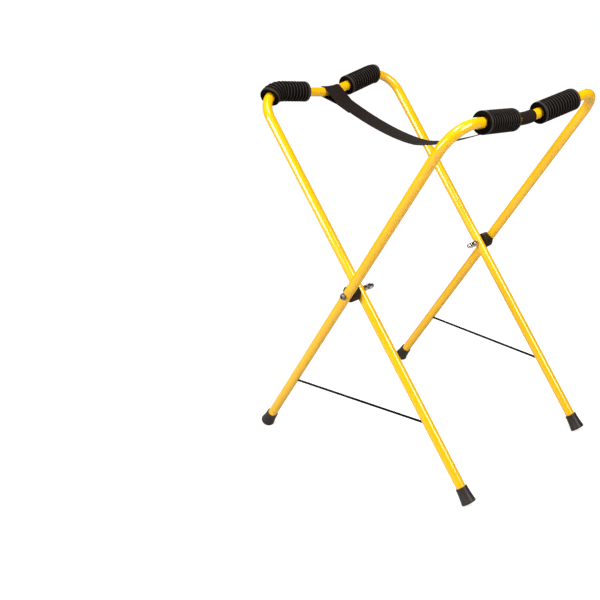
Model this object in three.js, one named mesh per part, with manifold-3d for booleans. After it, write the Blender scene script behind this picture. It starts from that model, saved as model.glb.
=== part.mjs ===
// Folding kayak stand: two bent tube frames cross like scissors and a webbing strap hangs between their
// top bars. Units are millimetres. +Z is up, Y runs along the pivot axis and X is the way the legs
// spread. The origin is on the floor, midway between the four feet.
import * as THREE from 'three';
import { mergeVertices } from 'three/addons/utils/BufferGeometryUtils.js';
import Module from 'manifold-3d';

const wasm = await Module();
wasm.setup();

// Driving sizes of the frames
const TUBE_DIAMETER = 22.2;
const TUBE_WALL = 1.5;
const LEG_LENGTH = 523;
const TOP_LENGTH = 510;
const INNER_FRAME_WIDTH = 431;
const LEG_SPACING = 38;
const LEAN_ANGLE = THREE.MathUtils.degToRad(36.6);
const CORNER_RADIUS = 60;
const BAR_DIP = 38;
const DIP_RADIUS = 150;

// Driving sizes of the feet
const FOOT_LENGTH = 38.5;
const FOOT_TOP_DIAMETER = 27.6;
const FOOT_BASE_DIAMETER = 34;
const FOOT_SOCKET_DEPTH = 28;
const FOOT_EDGE_RADIUS = 2.5;
const FOOT_DISH_DEPTH = 1;
const FOOT_DISH_RADIUS = 9.5;
const FOOT_MOUTH_BEVEL = 0.8;
const FOOT_WEAR = 1.5;
const FOOT_DISC_THICKNESS = 1.5;

// Driving sizes of the grips
const GRIP_DIAMETER = 47;
const GRIP_LENGTH = 115;
const GRIP_COLLAR = 10;
const GRIP_RIB_COUNT = 11;
const GRIP_RIB_DEPTH = 2.5;
const GRIP_EDGE_RADIUS = 3;

// How far each grip stands off from the strap's edge, measured along the tube
const INNER_GRIP_NEAR_STANDOFF = 50.5;
const INNER_GRIP_FAR_STANDOFF = 31.5;
const OUTER_GRIP_NEAR_STANDOFF = 21.5;
const OUTER_GRIP_FAR_STANDOFF = 19.5;

// Driving sizes of the pivot hardware
const BOLT_DIAMETER = 8;
const BOLT_HEAD_DIAMETER = 14;
const BOLT_HEAD_HEIGHT = 4.4;
const BOLT_SOCKET_WIDTH = 5;
const BOLT_SOCKET_DEPTH = 2.8;
const BOLT_HEAD_ROUND = 2.6;
const BOLT_POINT_BEVEL = 1;
const BARE_THREAD_LENGTH = 6;
const WASHER_DIAMETER = 16;
const WASHER_THICKNESS = 1.6;
const NUT_WIDTH = 13;
const LOCK_NUT_HEIGHT = 8;
const NUT_BEVEL = 0.9;
const LOCK_COLLAR_HEIGHT = 1.8;
const CAP_NUT_HEX_HEIGHT = 7;
const CAP_NUT_HEIGHT = 16.7;
const CAP_NUT_DOME_DIAMETER = 12;
const CAP_NUT_BORE_DEPTH = 11;
const CAP_NUT_DOME_ROUND = 5;
const SPACER_DIAMETER = 37;
const SPACER_WRAP = 6;
const SPACER_BEVEL = 2.5;

// Driving sizes of the strap
const STRAP_WIDTH = 50;
const STRAP_THICKNESS = 2;
const STRAP_SAG = 88;
const STRAP_TAIL_LENGTH = 84;
const STRAP_JOIN_LENGTH = 46;
const STRAP_SLIDE_INNER = -4;
const STRAP_SLIDE_OUTER = -5;
const SAG_POWER = 1.56;

// Driving sizes of the limit cords
const CORD_DIAMETER = 4;
const CORD_DROP = 331;
const CORD_KNOT_DIAMETER = 8.4;

// Clearances
const SEAT_GAP = 0.3;
const BOLT_CLEARANCE = 0.3;
const CORD_CLEARANCE = 0.75;
const LAYER_GAP = 0.4;
const END_SPACE = 0.6;
const OVERRUN = 5;

// Fineness of round forms
const TUBE_SIDES = 18;
const GRIP_SIDES = 12;
const FOOT_SIDES = 20;
const HARDWARE_SIDES = 20;
const CORD_SIDES = 8;
const BEND_STEP_ANGLE = THREE.MathUtils.degToRad(9);
const CORD_STEP_DIAMETERS = 3;
const ROUND_STEPS = 3;

// Worked out from the driving sizes
const tubeRadius = TUBE_DIAMETER / 2;
const tubeBoreRadius = tubeRadius - TUBE_WALL;
const innerHalfWidth = INNER_FRAME_WIDTH / 2;
const outerHalfWidth = innerHalfWidth + LEG_SPACING;
const footBaseRadius = FOOT_BASE_DIAMETER / 2;
const boltRadius = BOLT_DIAMETER / 2;
const cordRadius = CORD_DIAMETER / 2;
const tubeEndDepth = LEG_LENGTH - FOOT_LENGTH + FOOT_SOCKET_DEPTH - FOOT_DISC_THICKNESS - 2 * SEAT_GAP;
const pivotHeight = (LEG_LENGTH - FOOT_EDGE_RADIUS) * Math.cos(LEAN_ANGLE)
  + (footBaseRadius - FOOT_EDGE_RADIUS) * Math.sin(LEAN_ANGLE) + FOOT_EDGE_RADIUS - FOOT_WEAR;

const yellowPaint = { color: 0xffc400, roughness: 0.3, metalness: 0 };
const gripRubber = { color: 0x1b1a1c, roughness: 0.75, metalness: 0 };
const footRubber = { color: 0x2e2d2f, roughness: 0.6, metalness: 0 };
const zincSteel = { color: 0xb4b2ae, roughness: 0.3, metalness: 1 };
const spacerPlastic = { color: 0x151416, roughness: 0.5, metalness: 0 };
const blackWebbing = { color: 0x1a181b, roughness: 0.9, metalness: 0 };
const blackCord = { color: 0x100f11, roughness: 0.85, metalness: 0 };

function makeMesh(name, geometry, finish) {
  const mesh = new THREE.Mesh(geometry, new THREE.MeshStandardMaterial(finish));
  mesh.name = name;
  return mesh;
}

function toSolid(geometry) {
  const bare = geometry.clone();
  bare.deleteAttribute('normal');
  bare.deleteAttribute('uv');
  const merged = mergeVertices(bare);
  return new wasm.Manifold(new wasm.Mesh({
    numProp: 3,
    vertProperties: new Float32Array(merged.attributes.position.array),
    triVerts: new Uint32Array(merged.index.array),
  }));
}

function toGeometry(solid) {
  const mesh = solid.getMesh();
  const geometry = new THREE.BufferGeometry();
  geometry.setAttribute('position', new THREE.BufferAttribute(mesh.vertProperties, 3));
  geometry.setIndex(new THREE.BufferAttribute(mesh.triVerts, 1));
  geometry.computeVertexNormals();
  return geometry;
}

function cut(geometry, cutters) {
  const solid = cutters.reduce((rest, cutter) => rest.subtract(toSolid(cutter)), toSolid(geometry));
  return toGeometry(solid);
}

// The corner radius of a regular polygon whose flats lie on a circle, so that a bore clears its shaft
function cornerRadius(radius, sides) {
  return radius / Math.cos(Math.PI / sides);
}

function polygonPoints(radius, sides) {
  const points = [];
  for (let i = 0; i < sides; i += 1) {
    const angle = (i / sides) * 2 * Math.PI;
    points.push(new THREE.Vector2(radius * Math.cos(angle), radius * Math.sin(angle)));
  }
  return points;
}

// A quarter round between two directions, as profile points
function roundPoints(centreX, centreY, radius, startAngle, endAngle) {
  const points = [];
  for (let i = 0; i <= ROUND_STEPS; i += 1) {
    const angle = THREE.MathUtils.lerp(startAngle, endAngle, i / ROUND_STEPS);
    points.push(new THREE.Vector2(centreX + radius * Math.cos(angle), centreY + radius * Math.sin(angle)));
  }
  return points;
}

function cylinderBetween(start, end, radius, sides) {
  const axis = new THREE.Vector3().subVectors(end, start);
  const geometry = new THREE.CylinderGeometry(radius, radius, axis.length(), sides);
  const turn = new THREE.Quaternion().setFromUnitVectors(new THREE.Vector3(0, 1, 0), axis.clone().normalize());
  geometry.applyQuaternion(turn);
  const middle = new THREE.Vector3().addVectors(start, end).multiplyScalar(0.5);
  geometry.translate(middle.x, middle.y, middle.z);
  return geometry;
}

// A frame's centre line lies in its own YZ plane, with the pivot at its origin. Its stations run from the
// middle of the top bar out to one leg's end: the dip, the sloping bar, the corner bend, then the leg.
function halfStations(halfWidth) {
  const slope = Math.atan2(BAR_DIP, halfWidth);
  const turn = Math.PI / 2 + slope;
  const middleHeight = TOP_LENGTH - BAR_DIP + DIP_RADIUS * (1 / Math.cos(slope) - 1);
  const tangentLength = CORNER_RADIUS * Math.tan(turn / 2);
  const bendStartY = halfWidth - tangentLength * Math.cos(slope);
  const bendStartZ = TOP_LENGTH - tangentLength * Math.sin(slope);
  const bendCentreY = bendStartY + CORNER_RADIUS * Math.sin(slope);
  const bendCentreZ = bendStartZ - CORNER_RADIUS * Math.cos(slope);
  const stations = [];
  const dipSteps = Math.ceil(slope / BEND_STEP_ANGLE);
  for (let i = 0; i <= dipSteps; i += 1) {
    const heading = (i / dipSteps) * slope;
    stations.push({
      y: DIP_RADIUS * Math.sin(heading),
      z: middleHeight + DIP_RADIUS * (1 - Math.cos(heading)),
      heading,
    });
  }
  const bendSteps = Math.ceil(turn / BEND_STEP_ANGLE);
  for (let i = 0; i <= bendSteps; i += 1) {
    const heading = slope - (i / bendSteps) * turn;
    stations.push({
      y: bendCentreY - CORNER_RADIUS * Math.sin(heading),
      z: bendCentreZ + CORNER_RADIUS * Math.cos(heading),
      heading,
    });
  }
  stations.push({ y: halfWidth, z: -tubeEndDepth, heading: -Math.PI / 2 });
  stations[0].at = 0;
  for (let i = 1; i < stations.length; i += 1) {
    const stepY = stations[i].y - stations[i - 1].y;
    const stepZ = stations[i].z - stations[i - 1].z;
    stations[i].at = stations[i - 1].at + Math.hypot(stepY, stepZ);
  }
  return stations;
}

// Both halves, from the near leg's end over the bar to the far leg's end
function fullStations(halfWidth) {
  const far = halfStations(halfWidth);
  const near = far.slice(1).reverse();
  const mirrored = near.map((station) => ({
    y: -station.y,
    z: station.z,
    at: -station.at,
    heading: -station.heading,
  }));
  return [...mirrored, ...far];
}

// A curve whose equal steps land on the stations, so that straight runs take one step
class StationPath extends THREE.Curve {
  constructor(stations) {
    super();
    this.stations = stations;
  }

  locate(t) {
    const last = this.stations.length - 1;
    const index = Math.min(Math.floor(t * last), last - 1);
    return [this.stations[index], this.stations[index + 1], t * last - index];
  }

  getPoint(t, target = new THREE.Vector3()) {
    const [a, b, share] = this.locate(t);
    return target.set(0, THREE.MathUtils.lerp(a.y, b.y, share), THREE.MathUtils.lerp(a.z, b.z, share));
  }

  getTangent(t, target = new THREE.Vector3()) {
    const [a, b, share] = this.locate(t);
    const heading = THREE.MathUtils.lerp(a.heading, b.heading, share);
    return target.set(0, Math.cos(heading), Math.sin(heading));
  }

  getPointAt(u, target) {
    return this.getPoint(u, target);
  }

  getTangentAt(u, target) {
    return this.getTangent(u, target);
  }
}

// Where the two ends of a limit cord meet the legs' centre lines, in world coordinates
function cordEnds(side) {
  const spread = CORD_DROP * Math.sin(LEAN_ANGLE);
  const height = pivotHeight - CORD_DROP * Math.cos(LEAN_ANGLE);
  return {
    outer: new THREE.Vector3(-spread, side * outerHalfWidth, height),
    inner: new THREE.Vector3(spread, side * innerHalfWidth, height),
  };
}

function toFrame(worldPoint, lean) {
  const local = worldPoint.clone();
  local.z -= pivotHeight;
  return local.applyAxisAngle(new THREE.Vector3(0, 1, 0), -lean);
}

function frameTube(halfWidth, lean, ownEnd, otherEnd) {
  const stations = fullStations(halfWidth);
  const section = new THREE.Shape(polygonPoints(tubeRadius, TUBE_SIDES));
  section.holes.push(new THREE.Path(polygonPoints(tubeBoreRadius, TUBE_SIDES)));
  const tube = new THREE.ExtrudeGeometry(section, {
    steps: stations.length - 1,
    extrudePath: new StationPath(stations),
  });
  const cutters = [];
  const reach = tubeRadius + OVERRUN;
  for (const side of [-1, 1]) {
    const boltStart = new THREE.Vector3(0, side * halfWidth - reach, 0);
    const boltEnd = new THREE.Vector3(0, side * halfWidth + reach, 0);
    const boltHole = cornerRadius(boltRadius + BOLT_CLEARANCE, HARDWARE_SIDES);
    cutters.push(cylinderBetween(boltStart, boltEnd, boltHole, HARDWARE_SIDES));
    const ends = cordEnds(side);
    const start = toFrame(ends[ownEnd], lean);
    const along = toFrame(ends[otherEnd], lean).sub(start).normalize();
    const holeEnd = start.clone().addScaledVector(along, TUBE_DIAMETER);
    cutters.push(cylinderBetween(start, holeEnd, cordRadius + CORD_CLEARANCE, HARDWARE_SIDES));
  }
  return cut(tube, cutters);
}

// The tube's centre and its two cross directions at a distance along it, between its own stations
function frameAt(stations, at) {
  let index = 0;
  while (index < stations.length - 2 && stations[index + 1].at < at) {
    index += 1;
  }
  const a = stations[index];
  const b = stations[index + 1];
  const share = (at - a.at) / (b.at - a.at);
  return {
    y: THREE.MathUtils.lerp(a.y, b.y, share),
    z: THREE.MathUtils.lerp(a.z, b.z, share),
    normalY: THREE.MathUtils.lerp(-Math.sin(a.heading), -Math.sin(b.heading), share),
    normalZ: THREE.MathUtils.lerp(Math.cos(a.heading), Math.cos(b.heading), share),
  };
}

// A closed skin round the tube: the profile is a loop of rings, out along the sleeve's outside and back
// along its bore
function sleeveGeometry(stations, profile, sides) {
  const positions = [];
  const indices = [];
  for (const ring of profile) {
    const frame = frameAt(stations, ring.at);
    for (let i = 0; i < sides; i += 1) {
      const angle = (i / sides) * 2 * Math.PI;
      const lift = ring.radius * Math.cos(angle);
      positions.push(
        ring.radius * Math.sin(angle),
        frame.y + lift * frame.normalY,
        frame.z + lift * frame.normalZ,
      );
    }
  }
  for (let ring = 0; ring < profile.length; ring += 1) {
    const next = (ring + 1) % profile.length;
    for (let i = 0; i < sides; i += 1) {
      const j = (i + 1) % sides;
      const a = ring * sides + i;
      const b = ring * sides + j;
      const c = next * sides + j;
      const d = next * sides + i;
      indices.push(a, b, c, a, c, d);
    }
  }
  const geometry = new THREE.BufferGeometry();
  geometry.setAttribute('position', new THREE.Float32BufferAttribute(positions, 3));
  geometry.setIndex(indices);
  geometry.computeVertexNormals();
  return geometry;
}

// How far along the tube from the middle of a top bar its two grips start, outside the strap's edges
function gripStarts(slide, nearStandoff, farStandoff) {
  return {
    near: STRAP_WIDTH / 2 - slide + nearStandoff,
    far: STRAP_WIDTH / 2 + slide + farStandoff,
  };
}

// A ribbed sleeve on the near or far side, which starts at a distance from the middle of the bar
function gripGeometry(halfWidth, side, start) {
  const stations = fullStations(halfWidth);
  const low = side > 0 ? start : -start - GRIP_LENGTH;
  const high = low + GRIP_LENGTH;
  const outside = GRIP_DIAMETER / 2;
  const edge = GRIP_EDGE_RADIUS;
  const profile = [];
  for (const point of roundPoints(0, 0, edge, Math.PI, Math.PI / 2)) {
    profile.push({ at: low + edge + point.x, radius: outside - edge + point.y });
  }
  const ribPitch = (GRIP_LENGTH - 2 * GRIP_COLLAR) / GRIP_RIB_COUNT;
  for (let i = 0; i < GRIP_RIB_COUNT; i += 1) {
    const ribStart = low + GRIP_COLLAR + i * ribPitch;
    profile.push({ at: ribStart, radius: outside - GRIP_RIB_DEPTH });
    profile.push({ at: ribStart + ribPitch / 2, radius: outside });
  }
  profile.push({ at: high - GRIP_COLLAR, radius: outside - GRIP_RIB_DEPTH });
  for (const point of roundPoints(0, 0, edge, Math.PI / 2, 0)) {
    profile.push({ at: high - edge + point.x, radius: outside - edge + point.y });
  }
  const bore = cornerRadius(tubeRadius + SEAT_GAP, GRIP_SIDES);
  profile.push({ at: high, radius: bore });
  const inside = stations.filter((station) => station.at > low && station.at < high);
  for (const station of inside.reverse()) {
    profile.push({ at: station.at, radius: bore });
  }
  profile.push({ at: low, radius: bore });
  return sleeveGeometry(stations, profile, GRIP_SIDES);
}

// A flared rubber tip, turned about the leg, with a flat worn on the part of its rim that meets the floor
function footGeometry(lean, halfWidth, side) {
  const mouth = cornerRadius(tubeRadius + SEAT_GAP, FOOT_SIDES);
  const topRadius = FOOT_TOP_DIAMETER / 2;
  const socketFloor = FOOT_LENGTH - FOOT_SOCKET_DEPTH;
  const flareStart = FOOT_EDGE_RADIUS;
  const flareHeight = FOOT_LENGTH - FOOT_MOUTH_BEVEL - flareStart;
  const edgeCentre = footBaseRadius - FOOT_EDGE_RADIUS;
  const profile = [
    new THREE.Vector2(0, FOOT_DISH_DEPTH),
    new THREE.Vector2(FOOT_DISH_RADIUS, FOOT_DISH_DEPTH),
    new THREE.Vector2(FOOT_DISH_RADIUS + FOOT_DISH_DEPTH, 0),
    ...roundPoints(edgeCentre, FOOT_EDGE_RADIUS, FOOT_EDGE_RADIUS, -Math.PI / 2, 0),
  ];
  const flareShares = [0.25, 0.5, 0.75, 1];
  for (const share of flareShares) {
    const draw = 1 - (1 - share) ** 2;
    profile.push(new THREE.Vector2(
      THREE.MathUtils.lerp(footBaseRadius, topRadius, draw),
      flareStart + share * flareHeight,
    ));
  }
  profile.push(new THREE.Vector2(topRadius - FOOT_MOUTH_BEVEL, FOOT_LENGTH));
  profile.push(new THREE.Vector2(mouth, FOOT_LENGTH));
  profile.push(new THREE.Vector2(mouth, socketFloor));
  profile.push(new THREE.Vector2(0, socketFloor));
  const foot = new THREE.LatheGeometry(profile, FOOT_SIDES);
  foot.rotateX(Math.PI / 2);
  foot.translate(0, side * halfWidth, -LEG_LENGTH);
  const floor = new THREE.BoxGeometry(FOOT_LENGTH * 2, FOOT_LENGTH * 2, FOOT_LENGTH);
  floor.translate(-LEG_LENGTH * Math.sin(lean), side * halfWidth, -pivotHeight - FOOT_LENGTH / 2);
  floor.rotateY(-lean);
  return cut(foot, [floor]);
}

// The steel disc in the bottom of the tip's socket, which keeps the tube from cutting through
function footDiscGeometry(halfWidth, side) {
  const disc = new THREE.CylinderGeometry(tubeRadius, tubeRadius, FOOT_DISC_THICKNESS, FOOT_SIDES);
  disc.rotateX(Math.PI / 2);
  const floorHeight = -LEG_LENGTH + FOOT_LENGTH - FOOT_SOCKET_DEPTH;
  disc.translate(0, side * halfWidth, floorHeight + SEAT_GAP + FOOT_DISC_THICKNESS / 2);
  return disc;
}

// The pivot hardware lies along Y, measured from the outer leg's centre line inwards
const outerFace = -tubeRadius;
const headWasherStart = outerFace - SEAT_GAP - WASHER_THICKNESS;
const headBase = headWasherStart - SEAT_GAP;
const spacerFace = LEG_SPACING - tubeRadius - SEAT_GAP;
const innerWasherStart = LEG_SPACING + tubeRadius + SEAT_GAP;
const lockNutStart = innerWasherStart + WASHER_THICKNESS + SEAT_GAP;
const capNutStart = lockNutStart + LOCK_NUT_HEIGHT + BARE_THREAD_LENGTH;
const boltEnd = capNutStart + CAP_NUT_BORE_DEPTH - END_SPACE;

function boltGeometry() {
  const headRadius = BOLT_HEAD_DIAMETER / 2;
  const headTop = headBase - BOLT_HEAD_HEIGHT;
  const profile = [
    new THREE.Vector2(0, headTop),
    ...roundPoints(headRadius - BOLT_HEAD_ROUND, headTop + BOLT_HEAD_ROUND, BOLT_HEAD_ROUND, -Math.PI / 2, 0),
    new THREE.Vector2(headRadius, headBase),
    new THREE.Vector2(boltRadius, headBase),
    new THREE.Vector2(boltRadius, boltEnd - BOLT_POINT_BEVEL),
    new THREE.Vector2(boltRadius - BOLT_POINT_BEVEL, boltEnd),
    new THREE.Vector2(0, boltEnd),
  ];
  const bolt = new THREE.LatheGeometry(profile, HARDWARE_SIDES);
  const socketRadius = cornerRadius(BOLT_SOCKET_WIDTH / 2, 6);
  const socketDepth = BOLT_SOCKET_DEPTH + OVERRUN;
  const socket = new THREE.CylinderGeometry(socketRadius, socketRadius, socketDepth, 6);
  socket.translate(0, headTop + BOLT_SOCKET_DEPTH - socketDepth / 2, 0);
  return cut(bolt, [socket]);
}

function washerGeometry(start) {
  const bore = cornerRadius(boltRadius + BOLT_CLEARANCE, HARDWARE_SIDES);
  const outside = WASHER_DIAMETER / 2;
  const end = start + WASHER_THICKNESS;
  const profile = [
    new THREE.Vector2(bore, start),
    new THREE.Vector2(outside, start),
    new THREE.Vector2(outside, end),
    new THREE.Vector2(bore, end),
    new THREE.Vector2(bore, start),
  ];
  return new THREE.LatheGeometry(profile, HARDWARE_SIDES);
}

// A round plastic block that wraps the outer leg in a saddle and gives the inner leg a flat to turn on
function spacerGeometry() {
  const outside = SPACER_DIAMETER / 2;
  const earTip = tubeRadius - SPACER_WRAP;
  const profile = [
    new THREE.Vector2(0, earTip),
    new THREE.Vector2(outside, earTip),
    new THREE.Vector2(outside, spacerFace - SPACER_BEVEL),
    new THREE.Vector2(outside - SPACER_BEVEL, spacerFace),
    new THREE.Vector2(0, spacerFace),
  ];
  const block = new THREE.LatheGeometry(profile, HARDWARE_SIDES);
  const bore = cornerRadius(boltRadius + BOLT_CLEARANCE, HARDWARE_SIDES);
  const boreStart = new THREE.Vector3(0, 0, 0);
  const boreEnd = new THREE.Vector3(0, spacerFace + OVERRUN, 0);
  const saddle = cornerRadius(tubeRadius + SEAT_GAP, TUBE_SIDES);
  const saddleStart = new THREE.Vector3(0, 0, -SPACER_DIAMETER);
  const saddleEnd = new THREE.Vector3(0, 0, SPACER_DIAMETER);
  return cut(block, [
    cylinderBetween(saddleStart, saddleEnd, saddle, TUBE_SIDES),
    cylinderBetween(boreStart, boreEnd, bore, HARDWARE_SIDES),
  ]);
}

// A hexagon's corners are turned off by a cone, as on a rolled nut
function hexWithBevels(start, height, turned) {
  const corner = cornerRadius(NUT_WIDTH / 2, 6);
  const hex = new THREE.CylinderGeometry(corner, corner, height, 6);
  hex.translate(0, start + height / 2, 0);
  return toSolid(hex).intersect(toSolid(new THREE.LatheGeometry(turned, HARDWARE_SIDES)));
}

function boltBore(start, end) {
  const radius = cornerRadius(boltRadius + BOLT_CLEARANCE, HARDWARE_SIDES);
  const from = new THREE.Vector3(0, start, 0);
  const to = new THREE.Vector3(0, end, 0);
  return toSolid(cylinderBetween(from, to, radius, HARDWARE_SIDES));
}

function lockNutGeometry() {
  const corner = cornerRadius(cornerRadius(NUT_WIDTH / 2, 6), HARDWARE_SIDES);
  const collar = NUT_WIDTH / 2 - NUT_BEVEL;
  const end = lockNutStart + LOCK_NUT_HEIGHT;
  const hexEnd = end - LOCK_COLLAR_HEIGHT;
  const turned = [
    new THREE.Vector2(0, lockNutStart),
    new THREE.Vector2(corner - NUT_BEVEL, lockNutStart),
    new THREE.Vector2(corner, lockNutStart + NUT_BEVEL),
    new THREE.Vector2(corner, hexEnd - NUT_BEVEL),
    new THREE.Vector2(collar, hexEnd),
    new THREE.Vector2(collar, end - NUT_BEVEL),
    new THREE.Vector2(collar - NUT_BEVEL, end),
    new THREE.Vector2(0, end),
  ];
  const nut = hexWithBevels(lockNutStart, LOCK_NUT_HEIGHT, turned);
  return toGeometry(nut.subtract(boltBore(lockNutStart - OVERRUN, end + OVERRUN)));
}

function capNutGeometry() {
  const corner = cornerRadius(cornerRadius(NUT_WIDTH / 2, 6), HARDWARE_SIDES);
  const hexEnd = capNutStart + CAP_NUT_HEX_HEIGHT;
  const end = capNutStart + CAP_NUT_HEIGHT;
  const domeRadius = CAP_NUT_DOME_DIAMETER / 2;
  const domeCentre = domeRadius - CAP_NUT_DOME_ROUND;
  const turned = [
    new THREE.Vector2(0, capNutStart),
    new THREE.Vector2(corner - NUT_BEVEL, capNutStart),
    new THREE.Vector2(corner, capNutStart + NUT_BEVEL),
    new THREE.Vector2(corner, hexEnd - NUT_BEVEL),
    new THREE.Vector2(domeRadius, hexEnd),
    ...roundPoints(domeCentre, end - CAP_NUT_DOME_ROUND, CAP_NUT_DOME_ROUND, 0, Math.PI / 2),
    new THREE.Vector2(0, end),
  ];
  const nut = hexWithBevels(capNutStart, CAP_NUT_HEIGHT, turned);
  return toGeometry(nut.subtract(boltBore(capNutStart - OVERRUN, capNutStart + CAP_NUT_BORE_DEPTH)));
}

// How far the top bar has risen above its middle at a distance from it across the frame
function barRise(halfWidth, y) {
  const stations = halfStations(halfWidth);
  const index = stations.findIndex((station) => station.y >= Math.abs(y));
  const a = stations[index - 1];
  const b = stations[index];
  return THREE.MathUtils.mapLinear(Math.abs(y), a.y, b.y, a.z, b.z) - stations[0].z;
}

// The round in the XZ plane that clears the bar over the strap's whole width, where the bar dips.
// `side` is -1 for the inner frame's bar and 1 for the outer frame's.
function loopRound(halfWidth, side, slide) {
  const rise = barRise(halfWidth, Math.abs(slide) + STRAP_WIDTH / 2);
  const reach = halfStations(halfWidth)[0].z + rise / 2;
  return {
    centre: new THREE.Vector2(side * reach * Math.sin(LEAN_ANGLE), pivotHeight + reach * Math.cos(LEAN_ANGLE)),
    radius: tubeRadius + SEAT_GAP + rise / 2 + STRAP_THICKNESS / 2,
  };
}

function sagHeight(x, round) {
  const span = Math.abs(round.centre.x);
  return round.centre.y - STRAP_SAG * (1 - (Math.abs(x) / span) ** SAG_POWER);
}

// The webbing's middle line at one end, from the tail's tip under the strap, round the bar, to the join
// where the two layers part. It is drawn for the bar on the far X side and mirrored for the other.
function endLine(round) {
  const bar = Math.abs(round.centre.x);
  const layer = STRAP_THICKNESS + LAYER_GAP;
  const joinX = bar - STRAP_JOIN_LENGTH;
  const join = new THREE.Vector2(joinX, sagHeight(joinX, round));
  const tailJoin = new THREE.Vector2(joinX, join.y - layer);
  const centre = new THREE.Vector2(bar, round.centre.y);
  const tangentAngle = (point, turn) => {
    const toPoint = new THREE.Vector2().subVectors(point, centre);
    return Math.atan2(toPoint.y, toPoint.x) + turn * Math.acos(round.radius / toPoint.length());
  };
  const lowAngle = tangentAngle(tailJoin, 1);
  let highAngle = tangentAngle(join, -1);
  while (highAngle < lowAngle) {
    highAngle += 2 * Math.PI;
  }
  const line = [];
  const tailSteps = 4;
  for (let i = 0; i < tailSteps; i += 1) {
    const x = bar - THREE.MathUtils.lerp(STRAP_TAIL_LENGTH, STRAP_JOIN_LENGTH, i / tailSteps);
    line.push(new THREE.Vector2(x, sagHeight(x, round) - layer));
  }
  line.push(tailJoin);
  const arcSteps = 12;
  for (let i = 0; i <= arcSteps; i += 1) {
    const angle = THREE.MathUtils.lerp(lowAngle, highAngle, i / arcSteps);
    line.push(new THREE.Vector2(
      centre.x + round.radius * Math.cos(angle),
      centre.y + round.radius * Math.sin(angle),
    ));
  }
  line.push(join);
  return line;
}

function strapLine() {
  const innerRound = loopRound(innerHalfWidth, -1, STRAP_SLIDE_INNER);
  const outerRound = loopRound(outerHalfWidth, 1, STRAP_SLIDE_OUTER);
  const innerEnd = endLine(innerRound).map((point) => new THREE.Vector2(-point.x, point.y));
  const outerEnd = endLine(outerRound).reverse();
  const start = innerEnd[innerEnd.length - 1];
  const end = outerEnd[0];
  const span = [];
  const spanSteps = 24;
  for (let i = 1; i < spanSteps; i += 1) {
    const x = THREE.MathUtils.lerp(start.x, end.x, i / spanSteps);
    span.push(new THREE.Vector2(x, sagHeight(x, x < 0 ? innerRound : outerRound)));
  }
  return [...innerEnd, ...span, ...outerEnd];
}

// A ribbon's outline: its middle line moved half its thickness to one side, and back along the other
function ribbonOutline(line, thickness) {
  const left = [];
  const right = [];
  line.forEach((point, i) => {
    const before = line[Math.max(i - 1, 0)];
    const after = line[Math.min(i + 1, line.length - 1)];
    const along = new THREE.Vector2().subVectors(after, before).normalize();
    const across = new THREE.Vector2(-along.y, along.x).multiplyScalar(thickness / 2);
    left.push(new THREE.Vector2().addVectors(point, across));
    right.push(new THREE.Vector2().subVectors(point, across));
  });
  return [...left, ...right.reverse()];
}

// One length of webbing, with both ends turned back round the bars. It slides a little along each bar,
// so it runs slightly askew.
function strapGeometry() {
  const shape = new THREE.Shape(ribbonOutline(strapLine(), STRAP_THICKNESS));
  const strap = new THREE.ExtrudeGeometry(shape, { depth: STRAP_WIDTH, bevelEnabled: false });
  strap.rotateX(Math.PI / 2);
  strap.translate(0, STRAP_WIDTH / 2, 0);
  const innerX = loopRound(innerHalfWidth, -1, STRAP_SLIDE_INNER).centre.x;
  const outerX = loopRound(outerHalfWidth, 1, STRAP_SLIDE_OUTER).centre.x;
  const position = strap.attributes.position;
  for (let i = 0; i < position.count; i += 1) {
    const x = THREE.MathUtils.clamp(position.getX(i), innerX, outerX);
    const slide = THREE.MathUtils.mapLinear(x, innerX, outerX, STRAP_SLIDE_INNER, STRAP_SLIDE_OUTER);
    position.setY(i, position.getY(i) + slide);
  }
  return strap;
}

// A taut cord between the legs, with a stopper knot at each end drawn against the inside of the tube
function cordGeometry(side) {
  const ends = cordEnds(side);
  const along = new THREE.Vector3().subVectors(ends.inner, ends.outer).normalize();
  const legAxis = new THREE.Vector3(Math.sin(LEAN_ANGLE), 0, Math.cos(LEAN_ANGLE));
  const acrossLeg = Math.sqrt(1 - along.dot(legAxis) ** 2);
  const knotRadius = CORD_KNOT_DIAMETER / 2;
  const knotOffset = (tubeBoreRadius * Math.cos(Math.PI / TUBE_SIDES) - knotRadius - SEAT_GAP) / acrossLeg;
  const start = ends.outer.clone().addScaledVector(along, knotOffset);
  const end = ends.inner.clone().addScaledVector(along, -knotOffset);
  const section = new THREE.Shape(polygonPoints(cordRadius, CORD_SIDES));
  const steps = Math.ceil(start.distanceTo(end) / (CORD_STEP_DIAMETERS * CORD_DIAMETER));
  const cord = new THREE.ExtrudeGeometry(section, { steps, extrudePath: new THREE.LineCurve3(start, end) });
  const knots = [start, end].map((place) => {
    const knot = new THREE.SphereGeometry(knotRadius, CORD_SIDES, CORD_SIDES / 2);
    knot.translate(place.x, place.y, place.z);
    return toSolid(knot);
  });
  return toGeometry(knots.reduce((solid, knot) => solid.add(knot), toSolid(cord)));
}

const sides = [
  { word: 'near', sign: -1 },
  { word: 'far', sign: 1 },
];

function addGripAndFoot(group, word, halfWidth, lean, side, gripStart) {
  const grip = gripGeometry(halfWidth, side.sign, gripStart);
  group.add(makeMesh(`${word}_grip_${side.word}`, grip, gripRubber));
  const foot = footGeometry(lean, halfWidth, side.sign);
  group.add(makeMesh(`${word}_foot_${side.word}`, foot, footRubber));
  const disc = footDiscGeometry(halfWidth, side.sign);
  group.add(makeMesh(`${word}_foot_disc_${side.word}`, disc, zincSteel));
}

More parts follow.
